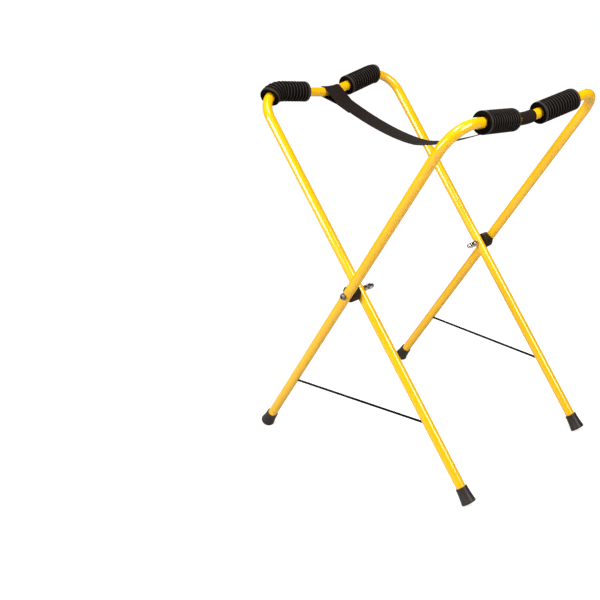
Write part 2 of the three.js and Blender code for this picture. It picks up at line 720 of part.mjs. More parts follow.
function makeFrame(word, halfWidth, lean, ownEnd, otherEnd, starts) {
  const group = new THREE.Group();
  group.position.z = pivotHeight;
  group.rotation.y = lean;
  const tube = frameTube(halfWidth, lean, ownEnd, otherEnd);
  group.add(makeMesh(`${word}_frame_tube`, tube, yellowPaint));
  sides.forEach((side) => addGripAndFoot(group, word, halfWidth, lean, side, starts[side.word]));
  return group;
}

function makePivot(side) {
  const group = new THREE.Group();
  group.position.y = side.sign * outerHalfWidth;
  group.rotation.z = side.sign > 0 ? Math.PI : 0;
  group.add(makeMesh(`pivot_bolt_${side.word}`, boltGeometry(), zincSteel));
  group.add(makeMesh(`head_washer_${side.word}`, washerGeometry(headWasherStart), zincSteel));
  group.add(makeMesh(`pivot_spacer_${side.word}`, spacerGeometry(), spacerPlastic));
  group.add(makeMesh(`nut_washer_${side.word}`, washerGeometry(innerWasherStart), zincSteel));
  group.add(makeMesh(`lock_nut_${side.word}`, lockNutGeometry(), zincSteel));
  group.add(makeMesh(`cap_nut_${side.word}`, capNutGeometry(), zincSteel));
  return group;
}

const outerStarts = gripStarts(STRAP_SLIDE_OUTER, OUTER_GRIP_NEAR_STANDOFF, OUTER_GRIP_FAR_STANDOFF);
const innerStarts = gripStarts(STRAP_SLIDE_INNER, INNER_GRIP_NEAR_STANDOFF, INNER_GRIP_FAR_STANDOFF);
const outerFrame = makeFrame('outer', outerHalfWidth, LEAN_ANGLE, 'outer', 'inner', outerStarts);
const innerFrame = makeFrame('inner', innerHalfWidth, -LEAN_ANGLE, 'inner', 'outer', innerStarts);
sides.forEach((side) => outerFrame.add(makePivot(side)));

const stand = new THREE.Group();
stand.add(outerFrame);
stand.add(innerFrame);
stand.add(makeMesh('support_strap', strapGeometry(), blackWebbing));
sides.forEach((side) => stand.add(makeMesh(`limit_cord_${side.word}`, cordGeometry(side.sign), blackCord)));

export default stand;
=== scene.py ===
"""Looks of a folding kayak stand: powder-coated tube frames, ribbed rubber grips, moulded rubber feet,
zinc-plated pivot hardware, a webbing strap and thin braided cords. Units are metres. +Z is up, Y runs
along the pivot axis and X is the way the legs spread. The origin is on the floor between the feet."""
from collections import namedtuple
from math import acos, atan2, ceil, copysign, cos, hypot, pi, radians, sin, sqrt, tan

import bmesh
import bpy
from mathutils import Matrix, Quaternion, Vector


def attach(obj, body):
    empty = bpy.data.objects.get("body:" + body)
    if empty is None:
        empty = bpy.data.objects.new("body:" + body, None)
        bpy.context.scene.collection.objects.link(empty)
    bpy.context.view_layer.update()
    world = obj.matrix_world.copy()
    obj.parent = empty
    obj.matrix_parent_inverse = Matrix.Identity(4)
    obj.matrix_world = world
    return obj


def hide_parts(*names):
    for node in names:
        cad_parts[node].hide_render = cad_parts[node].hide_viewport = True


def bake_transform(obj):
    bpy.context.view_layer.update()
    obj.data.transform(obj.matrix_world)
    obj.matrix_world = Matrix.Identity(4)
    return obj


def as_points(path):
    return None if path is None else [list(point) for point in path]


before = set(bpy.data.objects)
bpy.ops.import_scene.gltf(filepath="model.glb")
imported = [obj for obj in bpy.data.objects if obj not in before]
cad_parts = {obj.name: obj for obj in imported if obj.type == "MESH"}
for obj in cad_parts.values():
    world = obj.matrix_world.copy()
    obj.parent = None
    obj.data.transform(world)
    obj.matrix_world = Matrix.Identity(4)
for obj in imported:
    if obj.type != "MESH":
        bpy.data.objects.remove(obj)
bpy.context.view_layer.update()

MM = 0.001

# Sizes of the frames, as in the CAD model
TUBE_DIAMETER = 22.2 * MM
TUBE_WALL = 1.5 * MM
LEG_LENGTH = 523 * MM
TOP_LENGTH = 510 * MM
INNER_FRAME_WIDTH = 431 * MM
LEG_SPACING = 38 * MM
LEAN_ANGLE = radians(36.6)
CORNER_RADIUS = 60 * MM
BAR_DIP = 38 * MM
DIP_RADIUS = 150 * MM

# Sizes of the feet
FOOT_LENGTH = 38.5 * MM
FOOT_TOP_DIAMETER = 27.6 * MM
FOOT_BASE_DIAMETER = 34 * MM
FOOT_SOCKET_DEPTH = 28 * MM
FOOT_EDGE_RADIUS = 2.5 * MM
FOOT_DISH_DEPTH = 1 * MM
FOOT_DISH_RADIUS = 9.5 * MM
FOOT_MOUTH_BEVEL = 0.8 * MM
FOOT_WEAR = 1.5 * MM
FOOT_DISC_THICKNESS = 1.5 * MM

# Sizes of the grips, and how far each one stands off from the strap's edge
GRIP_DIAMETER = 47 * MM
GRIP_LENGTH = 115 * MM
GRIP_COLLAR = 10 * MM
GRIP_RIB_COUNT = 11
GRIP_RIB_DEPTH = 2.5 * MM
GRIP_EDGE_RADIUS = 3 * MM
RIB_SHARPNESS = 1.8
GRIP_MOUTH_DIAMETER = 30 * MM
GRIP_MOUTH_DEPTH = 6 * MM
GRIP_LIP_RADIUS = 1.4 * MM
GRIP_STANDOFFS = {
    ("inner", "near"): 50.5 * MM,
    ("inner", "far"): 31.5 * MM,
    ("outer", "near"): 21.5 * MM,
    ("outer", "far"): 19.5 * MM,
}

# Sizes of the pivot hardware
BOLT_DIAMETER = 8 * MM
BOLT_HEAD_DIAMETER = 14 * MM
BOLT_HEAD_HEIGHT = 4.4 * MM
BOLT_SOCKET_WIDTH = 5 * MM
BOLT_SOCKET_DEPTH = 2.8 * MM
BOLT_HEAD_ROUND = 2.6 * MM
BARE_THREAD_LENGTH = 6 * MM
THREAD_PITCH = 1.25 * MM
THREAD_DEPTH = 0.6 * MM
WASHER_DIAMETER = 16 * MM
WASHER_THICKNESS = 1.6 * MM
WASHER_BEVEL = 0.3 * MM
NUT_WIDTH = 13 * MM
LOCK_NUT_HEIGHT = 8 * MM
NUT_BEVEL = 0.9 * MM
LOCK_COLLAR_HEIGHT = 1.8 * MM
CAP_NUT_HEX_HEIGHT = 7 * MM
CAP_NUT_HEIGHT = 16.7 * MM
CAP_NUT_DOME_DIAMETER = 12 * MM
CAP_NUT_BORE_DEPTH = 11 * MM
CAP_NUT_DOME_ROUND = 5 * MM
SPACER_DIAMETER = 37 * MM
SPACER_WRAP = 6 * MM
SPACER_BEVEL = 2.5 * MM
SPACER_EDGE_WIDTH = 0.4 * MM

# Sizes of the strap and its stitches
STRAP_WIDTH = 50 * MM
STRAP_THICKNESS = 2 * MM
STRAP_SAG = 88 * MM
STRAP_TAIL_LENGTH = 84 * MM
STRAP_JOIN_LENGTH = 46 * MM
STRAP_SLIDES = {"inner": -4 * MM, "outer": -5 * MM}
SAG_POWER = 1.56
WEAVE_PITCH = 1.7 * MM
STITCH_LENGTH = 3.2 * MM
STITCH_GAP = 0.9 * MM
STITCH_DIAMETER = 0.7 * MM
STITCH_MARGIN = 4.5 * MM
STITCH_SHARES = (0, 0.12, 0.5, 0.88, 1)

# Sizes of the limit cords. The spacing of a knot's turns is a share of the strand's radius.
CORD_DIAMETER = 4 * MM
CORD_DROP = 331 * MM
CORD_KNOT_DIAMETER = 8.4 * MM
CORD_KNOT_TURNS = 3
KNOT_SPACING_SHARE = 1.7
CORD_STEP = 4 * MM
BRAID_PITCH = 3.6 * MM
BRAID_STRANDS = 8
BRAID_FUZZ = 0.65 * MM

# Clearances
SEAT_GAP = 0.3 * MM
BOLT_CLEARANCE = 0.3 * MM
CORD_CLEARANCE = 0.75 * MM
LAYER_GAP = 0.4 * MM
END_SPACE = 0.6 * MM
OVERRUN = 5 * MM
MERGE_DISTANCE = 0.001 * MM

# Fineness of round forms
TUBE_SIDES = 48
GRIP_SIDES = 64
FOOT_SIDES = 64
HARDWARE_SIDES = 48
CORD_SIDES = 16
BEND_STEP = radians(3)
STRAIGHT_STEP = 30 * MM
RIB_STEPS = 10
ROUND_STEPS = 8
THREAD_STEPS = 10
FLARE_STEPS = 12
STRAP_STEP = 5 * MM
STRAP_LEG_STEPS = 6
STRAP_TURN_STEPS = 40
STRAP_FLAT_STEPS = 12
STITCH_SIDES = 8
KNOT_STEPS = 16
EDGE_SEGMENTS = 2
HEX_SIDES = 6
SMOOTH_ANGLE = radians(32)

# Worked out from the sizes
TUBE_RADIUS = TUBE_DIAMETER / 2
BORE_RADIUS = TUBE_RADIUS - TUBE_WALL
SEAT_RADIUS = TUBE_RADIUS + SEAT_GAP
BOLT_HOLE_RADIUS = BOLT_DIAMETER / 2 + BOLT_CLEARANCE
CORD_HOLE_RADIUS = CORD_DIAMETER / 2 + CORD_CLEARANCE
NUT_CORNER = NUT_WIDTH / 2 / cos(pi / HEX_SIDES)
SOCKET_CORNER = BOLT_SOCKET_WIDTH / 2 / cos(pi / HEX_SIDES)
HALF_WIDTHS = {"inner": INNER_FRAME_WIDTH / 2, "outer": INNER_FRAME_WIDTH / 2 + LEG_SPACING}
LEANS = {"inner": -LEAN_ANGLE, "outer": LEAN_ANGLE}
TOP_SIDES = {"inner": -1, "outer": 1}
SIDES = {"near": -1, "far": 1}
BODIES = {"inner": "inner_frame", "outer": "outer_frame"}
TUBE_END_DEPTH = LEG_LENGTH - FOOT_LENGTH + FOOT_SOCKET_DEPTH - FOOT_DISC_THICKNESS - 2 * SEAT_GAP
PIVOT_HEIGHT = (
    (LEG_LENGTH - FOOT_EDGE_RADIUS) * cos(LEAN_ANGLE)
    + (FOOT_BASE_DIAMETER / 2 - FOOT_EDGE_RADIUS) * sin(LEAN_ANGLE)
    + FOOT_EDGE_RADIUS - FOOT_WEAR
)

# The camera, worked out from the photograph's tube edges, pivots, bends and feet. The stand is right of
# the picture's middle by so many pixels.
PICTURE_WIDTH = 600
STAND_OFFSET = 90
CAMERA_PLACE = (1.4221, -1.6322, 1.1992)
CAMERA_AZIMUTH = radians(43.19)
CAMERA_ELEVATION = radians(21.662)
CAMERA_ROLL = radians(-1.557)
CAMERA_LENS = 58.186
CAMERA_SENSOR = 36
CAMERA_SHIFT_SHARE = -STAND_OFFSET / PICTURE_WIDTH

# The lamps, by place, width, height, watts and turn about their own axis
LAMPS = {
    "front_box": ((-0.4, -3.0, 1.5), 2.2, 0.8, 88, radians(38)),
    "side_box": ((1.75, 0.1, 1.6), 1.0, 1.1, 31, 0),
    "top_box": ((0.2, -0.6, 2.6), 0.8, 0.8, 30, 0),
    "back_box": ((-1.5, 2.0, 1.6), 1.2, 1.2, 14, 0),
}

# The floor's and the room's levels, where 1 is white. The floor's glow grows from near to far, and the
# floor that shows in the paint fades out round its own centre.
WHITE = 1.0
FLOOR_WHITE = 0.55
FLOOR_GLOWS = (0.7, 1.0)
FLOOR_NEAR = 0.8
FLOOR_FAR = 3.5
FLOOR_REACH = 40
MIRRORED_LEVEL = 0.1
MIRRORED_CENTRE = (0.15, 0.1, 0.0)
MIRRORED_NEAR = 0.3
MIRRORED_FAR = 0.65
WORLD_LEVEL = 0.04
ROOM_LEVEL = 0.04

# Noises, by the cells in a metre, the octaves and how much each finer octave counts
NOISES = {
    "coat_patches": (9.0, 3.0, 0.5),
    "orange_peel": (180.0, 1.0, 0.5),
    "rubber_bloom": (60.0, 4.0, 0.65),
    "rubber_grain": (1900.0, 2.0, 0.5),
    "zinc_blotches": (320.0, 3.0, 0.5),
    "zinc_marks": (1500.0, 4.0, 0.7),
    "nylon_patches": (90.0, 2.0, 0.5),
    "nylon_grain": (1400.0, 3.0, 0.5),
    "webbing_fuzz": (2200.0, 3.0, 0.5),
    "braid_fuzz": (3000.0, 2.0, 0.5),
    "thread_fuzz": (4000.0, 2.0, 0.5),
}

# The materials' looks. The colour runs from dark to pale between two levels of the shade, and the relief
# is the depth and the strength of the surface's bumps.
Look = namedtuple("Look", "dark pale levels roughness relief specular metallic", defaults=(0.5, 0.0))
LOOKS = {
    "powder_coat": Look((0.97, 0.50, 0.001, 1), (1.0, 0.54, 0.002, 1), levels=(0.3, 0.7),
                        roughness=(0.16, 0.19), relief=(0.004 * MM, 0.2), specular=0.9),
    # The grip's dark is painted shade for its grooves and its pale is painted highlight for its crests
    "grip_rubber": Look((0.002, 0.001, 0.0006, 1), (0.042, 0.033, 0.028, 1), levels=(0.35, 0.75),
                        roughness=(0.6, 0.7), relief=(0.03 * MM, 0.4), specular=0.05),
    "foot_rubber": Look((0.022, 0.017, 0.016, 1), (0.040, 0.031, 0.029, 1), levels=(0.35, 0.75),
                        roughness=(0.32, 0.46), relief=(0.03 * MM, 0.4), specular=0.25),
    "dull_zinc": Look((0.24, 0.21, 0.22, 1), (0.3, 0.26, 0.25, 1), levels=(0.35, 0.7),
                      roughness=(0.42, 0.6), relief=(0.03 * MM, 0.4), metallic=1.0),
    "zinc": Look((0.6, 0.56, 0.56, 1), (0.66, 0.6, 0.56, 1), levels=(0.35, 0.7),
                 roughness=(0.14, 0.3), relief=(0.03 * MM, 0.4), metallic=1.0),
    "spacer_nylon": Look((0.018, 0.0115, 0.006, 1), (0.034, 0.021, 0.011, 1), levels=(0.3, 0.8),
                         roughness=(0.38, 0.6), relief=(0.08 * MM, 0.5), specular=0.12),
    # The webbing's dark is painted shade where its yarns sink
    "webbing": Look((0.006, 0.004, 0.0035, 1), (0.038, 0.0265, 0.0225, 1), levels=(0.15, 1.0),
                    roughness=(0.62, 0.85), relief=(0.35 * MM, 0.8), specular=0.05),
    # The braid's dark is painted shade between its strands
    "braid": Look((0.0015, 0.001, 0.001, 1), (0.007, 0.004, 0.004, 1), levels=(0.2, 1.0),
                  roughness=(0.6, 0.85), relief=(0.3 * MM, 0.7), specular=0.04),
    "thread": Look((0.008, 0.007, 0.008, 1), (0.03, 0.027, 0.029, 1), levels=(0.3, 0.8),
                   roughness=(0.4, 0.6), relief=(0.08 * MM, 0.5), specular=0.2),
}

# How strongly the ribs' crests stand out as painted highlight over painted shade in the grooves, how high
# # the yarns and strands rise, which also sets their painted shade where they sink, and a number of yarns
# that
# # keeps every yarn's own number above 0
PAINTED_RIB_SHADE_POWER = 2.0
CREST_POLISH = 0.3
BLOOM_LIFT = 0.5
YARN_RISES = (0.35, 1.0)
YARN_FUZZ_SHARE = 0.25
YARNS_BEFORE_EDGE = 1000.0
STRAND_SHADE_LEVELS = (0.5, 1.0)


# Camera and lamps

def add_object(name, data):
    """A new object in the scene"""
    made = bpy.data.objects.new(name, data)
    bpy.context.scene.collection.objects.link(made)
    return made


def make_camera():
    """The camera at the photograph's place, with the stand right of the middle"""
    data = bpy.data.cameras.new("photo_camera")
    data.lens = CAMERA_LENS
    data.sensor_width = CAMERA_SENSOR
    data.shift_x = CAMERA_SHIFT_SHARE
    camera = add_object("photo_camera", data)
    heading = Matrix.Rotation(CAMERA_AZIMUTH, 4, "Z")
    tilt = Matrix.Rotation(pi / 2 - CAMERA_ELEVATION, 4, "X")
    roll = Matrix.Rotation(CAMERA_ROLL, 4, "Z")
    camera.matrix_world = Matrix.Translation(Vector(CAMERA_PLACE)) @ heading @ tilt @ roll
    bpy.context.scene.camera = camera


def make_lamp(name, place, width, height, power, turn):
    """A soft box that points at the middle of the stand, turned about its own axis"""
    data = bpy.data.lights.new(name, "AREA")
    data.shape = "RECTANGLE"
    data.size = width
    data.size_y = height
    data.energy = power
    lamp = add_object(name, data)
    lamp.visible_camera = False
    lamp.location = place
    lamp.rotation_mode = "QUATERNION"
    aim = (Vector((0, 0, PIVOT_HEIGHT)) - Vector(place)).to_track_quat("-Z", "Y")
    lamp.rotation_quaternion = aim @ Quaternion((0, 0, 1), turn)


# Node helpers

def node(tree, kind, values=None, **settings):
    """A new node's first output. Each value is a number, a colour or another node's output."""
    made = tree.nodes.new("ShaderNode" + kind)
    for key, setting in settings.items():
        setattr(made, key, setting)
    for place, value in (values or {}).items():
        if isinstance(value, bpy.types.NodeSocket):
            tree.links.new(value, made.inputs[place])
        else:
            made.inputs[place].default_value = value
    return made.outputs[0]


def math_node(tree, operation, *values):
    return node(tree, "Math", dict(enumerate(values)), operation=operation)


def object_place(tree):
    """The point's place on the part, in metres"""
    return tree.nodes.new("ShaderNodeTexCoord").outputs["Object"]


def weave_place(tree):
    """The distance along and across a woven or ribbed piece, from its map"""
    separate = tree.nodes.new("ShaderNodeSeparateXYZ")
    tree.links.new(node(tree, "UVMap", uv_map="weave"), separate.inputs[0])
    return separate.outputs[0], separate.outputs[1]


def noise(tree, name):
    scale, detail, roughness = NOISES[name]
    return node(tree, "TexNoise", {
        "Vector": object_place(tree), "Scale": scale, "Detail": detail, "Roughness": roughness,
    })


def ramp(tree, factor, look):
    made = tree.nodes.new("ShaderNodeValToRGB")
    for stop, level, colour in zip(made.color_ramp.elements, look.levels, (look.dark, look.pale)):
        stop.position, stop.color = level, colour
    tree.links.new(factor, made.inputs[0])
    return made.outputs[0]


def grey(value):
    return (value, value, value, 1)


def range_node(tree, value, low, high, start=0.0, end=1.0):
    """A value between start and end moved to the range from low to high"""
    return node(tree, "MapRange", {
        "Value": value, "From Min": start, "From Max": end, "To Min": low, "To Max": high,
    })


def new_material(name):
    material = bpy.data.materials.new(name)
    material.use_nodes = True
    return material, material.node_tree


def finish_material(tree, look, shade, gloss, height, polish=0.0):
    """Gives the main shader its colour, its roughness and its relief, by factors from 0 to 1"""
    shader = tree.nodes["Principled BSDF"]
    shader.inputs["Specular IOR Level"].default_value = look.specular
    shader.inputs["Metallic"].default_value = look.metallic
    depth, strength = look.relief
    outputs = {
        "Base Color": ramp(tree, shade, look),
        "Roughness": math_node(tree, "SUBTRACT", range_node(tree, gloss, *look.roughness), polish),
        "Normal": node(tree, "Bump", {"Height": height, "Distance": depth, "Strength": strength}),
    }
    for key, output in outputs.items():
        tree.links.new(output, shader.inputs[key])


def noisy_material(name, shade, gloss, height):
    """A material whose shade, gloss and relief each follow a noise"""
    material, tree = new_material(name)
    finish_material(tree, LOOKS[name], noise(tree, shade), noise(tree, gloss), noise(tree, height))
    return material


# Materials

def make_powder_coat():
    """Glossy yellow powder coat with its fine orange peel and a little unevenness in colour"""
    return noisy_material("powder_coat", "coat_patches", "coat_patches", "orange_peel")


def make_foot_rubber():
    """Moulded rubber with a satin skin, a fine grain and a faint bloom"""
    return noisy_material("foot_rubber", "rubber_bloom", "rubber_bloom", "rubber_grain")


def make_grip_rubber():
    """Rubber that is handled, so its crests are smoother than its grooves. Its colour is painted shade in
    the grooves and painted highlight on the crests. The map across it holds 0 in a groove and 1 on a crest."""
    material, tree = new_material("grip_rubber")
    bloom = noise(tree, "rubber_bloom")
    _, crest = weave_place(tree)
    # Painted highlight on the crests and painted shade in the grooves; the same map makes the crests
    # smoother
    painted_rib_light_and_polish = math_node(tree, "POWER", crest, PAINTED_RIB_SHADE_POWER)
    shade = math_node(tree, "MULTIPLY", math_node(tree, "ADD", bloom, BLOOM_LIFT), painted_rib_light_and_polish)
    polish = math_node(tree, "MULTIPLY", painted_rib_light_and_polish, CREST_POLISH)
    finish_material(tree, LOOKS["grip_rubber"], shade, bloom, noise(tree, "rubber_grain"), polish)
    return material


def make_zinc(name):
    """Zinc plating: turned marks, small blotches of warmer passivation and uneven gloss"""
    return noisy_material(name, "zinc_blotches", "zinc_marks", "zinc_marks")


def make_spacer_plastic():
    """Black moulded nylon with a spark-eroded grain"""
    return noisy_material("spacer_nylon", "nylon_patches", "nylon_grain", "nylon_grain")


def make_webbing():
    """Black webbing: yarns side by side that rise and sink in turn, so that they show as small ribs, with
    painted shade where they sink
    """
    material, tree = new_material("webbing")
    along, across = weave_place(tree)
    yarn = math_node(tree, "DIVIDE", across, WEAVE_PITCH)
    inside = math_node(tree, "FRACT", yarn)
    crown = math_node(tree, "SINE", math_node(tree, "MULTIPLY", inside, pi))
    number = math_node(tree, "FLOOR", math_node(tree, "ADD", yarn, YARNS_BEFORE_EDGE))
    half_turns = math_node(tree, "MULTIPLY", math_node(tree, "MODULO", number, 2.0), pi)
    row = math_node(tree, "MULTIPLY", along, 2 * pi / WEAVE_PITCH)
    wave = math_node(tree, "SINE", math_node(tree, "ADD", row, half_turns))
    height = math_node(tree, "MULTIPLY", crown, range_node(tree, wave, *YARN_RISES))
    fuzz = noise(tree, "webbing_fuzz")
    yarn_relief_and_shade = math_node(tree, "ADD", height, math_node(tree, "MULTIPLY", fuzz, YARN_FUZZ_SHARE))
    # The colour follows the yarns' height, as painted shade where they sink
    finish_material(tree, LOOKS["webbing"], yarn_relief_and_shade, fuzz, yarn_relief_and_shade)
    return material


def make_braid():
    """Black braided cord: two sets of strands that cross, which show as small diamonds, with painted shade
    between the strands
    """
    material, tree = new_material("braid")
    along, around = weave_place(tree)
    turns = math_node(tree, "MULTIPLY", along, 2 * pi / BRAID_PITCH)
    strands = math_node(tree, "MULTIPLY", around, BRAID_STRANDS / CORD_DIAMETER)
    one = math_node(tree, "SINE", math_node(tree, "ADD", turns, strands))
    other = math_node(tree, "SINE", math_node(tree, "SUBTRACT", turns, strands))
    height = math_node(tree, "MULTIPLY", one, other)
    # The colour follows the strands' height, as painted shade between them
    level = range_node(tree, height, *STRAND_SHADE_LEVELS)
    finish_material(tree, LOOKS["braid"], level, noise(tree, "braid_fuzz"), height)
    return material


def make_thread():
    """Black bonded thread with its twist"""
    return noisy_material("thread", "thread_fuzz", "thread_fuzz", "thread_fuzz")


# Mesh helpers

def new_piece(name, points, faces, material, corner_places=None):
    """A smooth-shaded piece with its faces outwards. corner_places are (along, across) per face corner."""
    mesh = bpy.data.meshes.new(name)
    mesh.from_pydata(points, [], faces)
    if corner_places is not None:
        layer = mesh.uv_layers.new(name="weave")
        layer.data.foreach_set("uv", [value for place in corner_places for value in place])
    edit = bmesh.new()
    edit.from_mesh(mesh)
    bmesh.ops.remove_doubles(edit, verts=edit.verts, dist=MERGE_DISTANCE)
    bmesh.ops.recalc_face_normals(edit, faces=edit.faces)
    edit.to_mesh(mesh)
    edit.free()
    mesh.materials.append(material)
    piece = add_object(name, mesh)
    smooth(piece)
    return piece


def smooth(piece):
    piece.data.shade_smooth()
    piece.data.set_sharp_from_angle(angle=SMOOTH_ANGLE)


def skin_faces(ring_count, sides, loop):
    """Faces through rings of equally many points, and the (ring, side) of each of their corners"""
    faces, corners = [], []
    spans = ring_count if loop else ring_count - 1
    for i in range(spans):
        here = i * sides
        there = (i + 1) % ring_count * sides
        for j in range(sides):
            k = (j + 1) % sides
            faces.append((here + j, here + k, there + k, there + j))
            corners += [(i, j), (i, j + 1), (i + 1, j + 1), (i + 1, j)]
    return faces, corners


def end_faces(ring_count, sides):
    """The faces that close the first and the last ring"""
    last = (ring_count - 1) * sides
    return [tuple(range(first, first + sides)) for first in (0, last)]


def ring_points(rings):
    return [point for ring in rings for point in ring]


def make_skin(name, rings, material, loop=False):
    """A closed skin through rings of points, which ends in flat faces or runs round in a loop"""
    sides = len(rings[0])
    faces, _ = skin_faces(len(rings), sides, loop)
    if not loop:
        faces += end_faces(len(rings), sides)
    return new_piece(name, ring_points(rings), faces, material)


def unit_circle(sides):
    """The cosine and the sine of even steps round a circle"""
    angles = [i / sides * 2 * pi for i in range(sides)]
    return [(cos(angle), sin(angle)) for angle in angles]


def lathe(name, profile, sides, place, material):
    """A closed solid of revolution. Each profile point is a radius and a height along the axis, from the
    axis out and back to it, or round in a loop where it has a bore."""
    rings = []
    for radius, height in profile:
        rings.append([place(radius * x, radius * y, height) for x, y in unit_circle(sides)])
    bored = min(radius for radius, _ in profile) > 0
    return make_skin(name, rings, material, loop=bored)


def arc_points(centre_radius, centre_height, radius, start, end):
    """A quarter round, or any other arc, as profile points"""
    points = []
    for i in range(ROUND_STEPS + 1):
        angle = start + (end - start) * i / ROUND_STEPS
        points.append((centre_radius + radius * cos(angle), centre_height + radius * sin(angle)))
    return points


def combine(piece, cutter, operation="DIFFERENCE"):
    """Cuts or trims a piece with another, which is then deleted"""
    modifier = piece.modifiers.new("combine", "BOOLEAN")
    modifier.solver = "EXACT"
    modifier.operation = operation
    modifier.material_mode = "TRANSFER"
    modifier.object = cutter
    apply_modifiers(piece)
    spare = cutter.data
    bpy.data.objects.remove(cutter)
    bpy.data.meshes.remove(spare)


def apply_modifiers(piece):
    shapes = bpy.context.evaluated_depsgraph_get()
    done = bpy.data.meshes.new_from_object(piece.evaluated_get(shapes))
    piece.modifiers.clear()
    spare = piece.data
    piece.data = done
    bpy.data.meshes.remove(spare)
    smooth(piece)


def soften_edges(piece, width):
    """A small round on the piece's sharp edges"""
    modifier = piece.modifiers.new("soften", "BEVEL")
    modifier.width = width
    modifier.segments = EDGE_SEGMENTS
    modifier.limit_method = "ANGLE"
    modifier.angle_limit = SMOOTH_ANGLE
    modifier.harden_normals = False
    apply_modifiers(piece)


def cylinder_between(start, end, radius, sides, material):
    """A plain round cutter"""
    rings = tube_rings([Vector(start), Vector(end)], radius, sides)
    return make_skin("cutter", rings, material)


def tube_rings(line, radius, sides):
    """Rings of points round a line, turned as little as possible from one to the next"""
    side = (line[1] - line[0]).orthogonal().normalized()
    rings = []
    for i, point in enumerate(line):
        tangent = (line[min(i + 1, len(line) - 1)] - line[max(i - 1, 0)]).normalized()
        side = (side - tangent * side.dot(tangent)).normalized()
        lift = tangent.cross(side)
        rings.append([point + radius * (x * side + y * lift) for x, y in unit_circle(sides)])
    return rings


# Frames

def to_world(point, lean):
    """From a frame's own axes, with the pivot at their origin, to the part's"""
    return Matrix.Rotation(lean, 3, "Y") @ Vector(point) + Vector((0, 0, PIVOT_HEIGHT))


class FramePath:
    """A frame's centre line in its own YZ plane, by the distance from the middle of its top bar"""

    def __init__(self, half_width):
        self.half_width = half_width
        self.slope = atan2(BAR_DIP, half_width)
        turn = pi / 2 + self.slope
        self.middle = TOP_LENGTH - BAR_DIP + DIP_RADIUS * (1 / cos(self.slope) - 1)
        tangent_length = CORNER_RADIUS * tan(turn / 2)
        bend_y = half_width - tangent_length * cos(self.slope)
        bend_z = TOP_LENGTH - tangent_length * sin(self.slope)
        self.dip_y = DIP_RADIUS * sin(self.slope)
        self.dip_z = self.middle + DIP_RADIUS * (1 - cos(self.slope))
        self.dip_end = DIP_RADIUS * self.slope
        self.bend_start = self.dip_end + hypot(bend_y - self.dip_y, bend_z - self.dip_z)
        self.bend_end = self.bend_start + CORNER_RADIUS * turn
        self.bend_centre_y = bend_y + CORNER_RADIUS * sin(self.slope)
        self.bend_centre_z = bend_z - CORNER_RADIUS * cos(self.slope)
        self.end = self.bend_end + self.bend_centre_z + TUBE_END_DEPTH

    def at(self, distance):
        """The centre and the heading at a distance. Distances below 0 are on the near side."""
        far = abs(distance)
        if far < self.dip_end:
            heading = far / DIP_RADIUS
            y = DIP_RADIUS * sin(heading)
            z = self.middle + DIP_RADIUS * (1 - cos(heading))
        elif far < self.bend_start:
            heading = self.slope
            y = self.dip_y + (far - self.dip_end) * cos(heading)
            z = self.dip_z + (far - self.dip_end) * sin(heading)
        elif far < self.bend_end:
            heading = self.slope - (far - self.bend_start) / CORNER_RADIUS
            y = self.bend_centre_y - CORNER_RADIUS * sin(heading)
            z = self.bend_centre_z + CORNER_RADIUS * cos(heading)
        else:
            heading = -pi / 2
            y = self.half_width
            z = self.bend_centre_z - (far - self.bend_end)
        side = copysign(1, distance)
        return side * y, z, side * heading

    def leg_distance(self, height):
        """The distance along the tube to a height on its leg"""
        return self.bend_end + self.bend_centre_z - height

    def ring(self, distance, radius, sides, lean):
        """A ring of points round the centre line"""
        y, z, heading = self.at(distance)
        ring = []
        for up, out in unit_circle(sides):
            lift = radius * up
            point = (radius * out, y - lift * sin(heading), z + lift * cos(heading))
            ring.append(to_world(point, lean))
        return ring

    def rise(self, y):
        """How far the bar has risen above its middle at a distance from it across the frame"""
        if abs(y) < self.dip_y:
            return DIP_RADIUS - sqrt(DIP_RADIUS ** 2 - y ** 2)
        return self.dip_z - self.middle + (abs(y) - self.dip_y) * tan(self.slope)


def stretch(start, end, step):
    """Even distances from start up to but not including end"""
    count = max(1, ceil((end - start) / step))
    return [start + (end - start) * i / count for i in range(count)]


def tube_distances(path):
    """Distances along half a frame: close together in the bends and round the holes"""
    marks = [path.bend_end]
    for height in (0, -CORD_DROP):
        middle = path.leg_distance(height)
        marks += [middle - BOLT_DIAMETER, middle + BOLT_DIAMETER]
    marks.append(path.end)
    distances = stretch(0, path.dip_end, DIP_RADIUS * BEND_STEP)
    distances += stretch(path.dip_end, path.bend_start, STRAIGHT_STEP)
    distances += stretch(path.bend_start, path.bend_end, CORNER_RADIUS * BEND_STEP)
    for start, end in zip(marks, marks[1:]):
        distances += stretch(start, end, STRAIGHT_STEP)
    return distances + [path.end]


def cord_ends(sign):
    """Where the two ends of a limit cord meet the legs' centre lines"""
    spread = CORD_DROP * sin(LEAN_ANGLE)
    height = PIVOT_HEIGHT - CORD_DROP * cos(LEAN_ANGLE)
    return {
        "outer": Vector((-spread, sign * HALF_WIDTHS["outer"], height)),
        "inner": Vector((spread, sign * HALF_WIDTHS["inner"], height)),
    }


